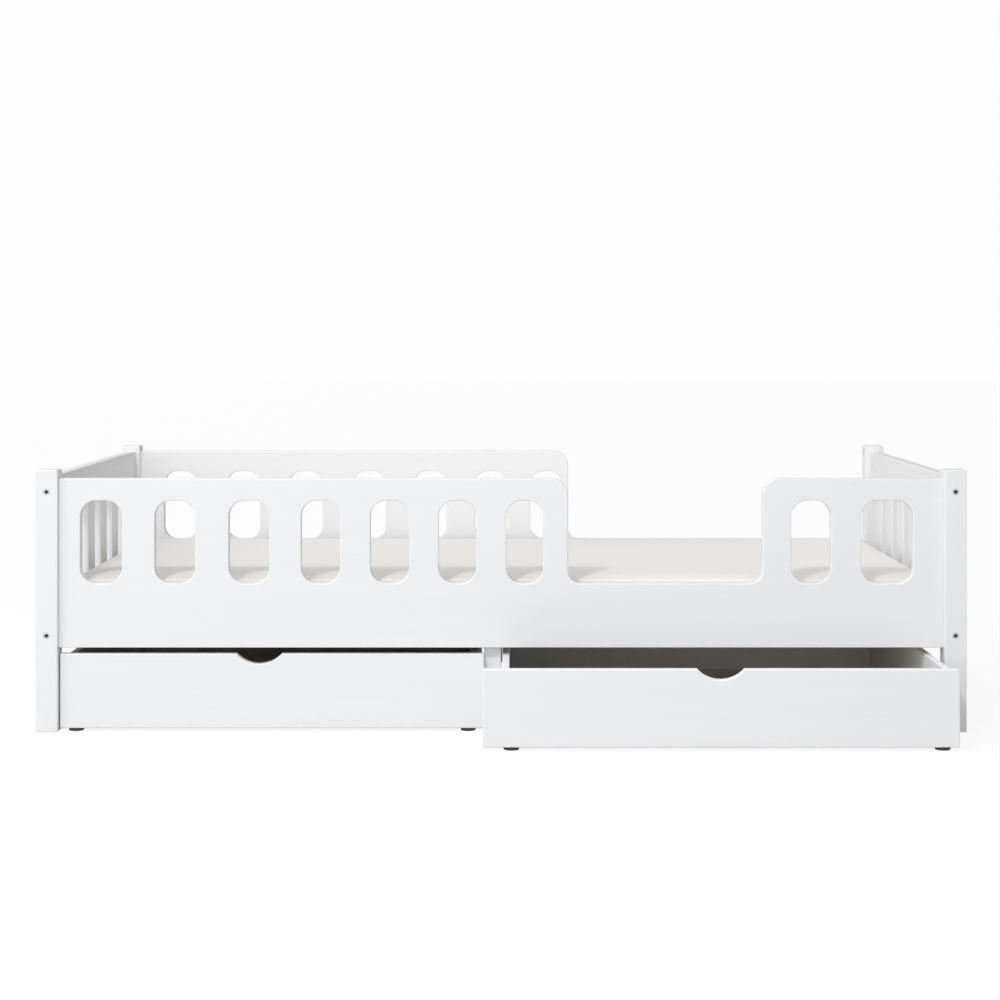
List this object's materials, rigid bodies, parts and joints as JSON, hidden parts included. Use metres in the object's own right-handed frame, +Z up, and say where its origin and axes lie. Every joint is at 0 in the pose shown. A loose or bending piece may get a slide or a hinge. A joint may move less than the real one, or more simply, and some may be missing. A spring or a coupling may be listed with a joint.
{
  "type": "toddler bed",
  "caption": "White wooden toddler bed with slatted ends, side panels pierced by upright rounded slots, a low entry gap, a mattress and under-bed drawers that pull out along the floor.",
  "frame": {"origin": "on the floor, under the middle of the bounding box of the bed with its right drawer open as stored", "axes": "+X along the bed towards the short front guard, +Y from the entry side to the back, +Z up"},
  "size_m": [1.68, 1.05, 0.473],
  "materials": {
    "white_lacquer": "satin",
    "birch": "matte",
    "drawer_hardboard": "satin",
    "mattress_fabric": "matte",
    "dark_plastic": "matte",
    "zinc_bolts": "satin"
  },
  "bodies": {
    "bed_frame": {"bolt_front_left_lower": "zinc_bolts", "bolt_front_left_upper": "zinc_bolts", "bolt_front_right_lower": "zinc_bolts", "bolt_front_right_upper": "zinc_bolts", "bolt_rear_left_lower": "zinc_bolts", "bolt_rear_left_upper": "zinc_bolts", "bolt_rear_right_lower": "zinc_bolts", "bolt_rear_right_upper": "zinc_bolts", "end_rail_left_bottom": "white_lacquer", "end_rail_left_top": "white_lacquer", "end_rail_right_bottom": "white_lacquer", "end_rail_right_top": "white_lacquer", "end_slat_left_1": "white_lacquer", "end_slat_left_2": "white_lacquer", "end_slat_left_3": "white_lacquer", "end_slat_left_4": "white_lacquer", "end_slat_left_5": "white_lacquer", "end_slat_left_6": "white_lacquer", "end_slat_right_1": "white_lacquer", "end_slat_right_2": "white_lacquer", "end_slat_right_3": "white_lacquer", "end_slat_right_4": "white_lacquer", "end_slat_right_5": "white_lacquer", "end_slat_right_6": "white_lacquer", "ledge_front": "birch", "ledge_rear": "birch", "mattress": "mattress_fabric", "middle_cross_rail": "white_lacquer", "middle_leg_front": "white_lacquer", "middle_leg_rear": "white_lacquer", "post_front_left": "white_lacquer", "post_front_right": "white_lacquer", "post_rear_left": "white_lacquer", "post_rear_right": "white_lacquer", "roll_slat_base": "birch", "side_panel_front": "white_lacquer", "side_panel_rear": "white_lacquer"},
    "left_drawer": {"left_drawer_back": "white_lacquer", "left_drawer_bottom": "drawer_hardboard", "left_drawer_front": "white_lacquer", "left_drawer_glide_front_left": "dark_plastic", "left_drawer_glide_front_right": "dark_plastic", "left_drawer_glide_rear_left": "dark_plastic", "left_drawer_glide_rear_right": "dark_plastic", "left_drawer_side_left": "white_lacquer", "left_drawer_side_right": "white_lacquer"},
    "right_drawer": {"right_drawer_back": "white_lacquer", "right_drawer_bottom": "drawer_hardboard", "right_drawer_front": "white_lacquer", "right_drawer_glide_front_left": "dark_plastic", "right_drawer_glide_front_right": "dark_plastic", "right_drawer_glide_rear_left": "dark_plastic", "right_drawer_glide_rear_right": "dark_plastic", "right_drawer_side_left": "white_lacquer", "right_drawer_side_right": "white_lacquer"}
  },
  "joints": [
    {"name": "left_drawer_slide", "type": "slide", "parent": "bed_frame", "child": "left_drawer", "axis": [0, -1, 0], "range_m": [0, 0.7]},
    {"name": "right_drawer_slide", "type": "slide", "parent": "bed_frame", "child": "right_drawer", "axis": [0, -1, 0], "range_m": [-0.18, 0.52]}
  ]
}
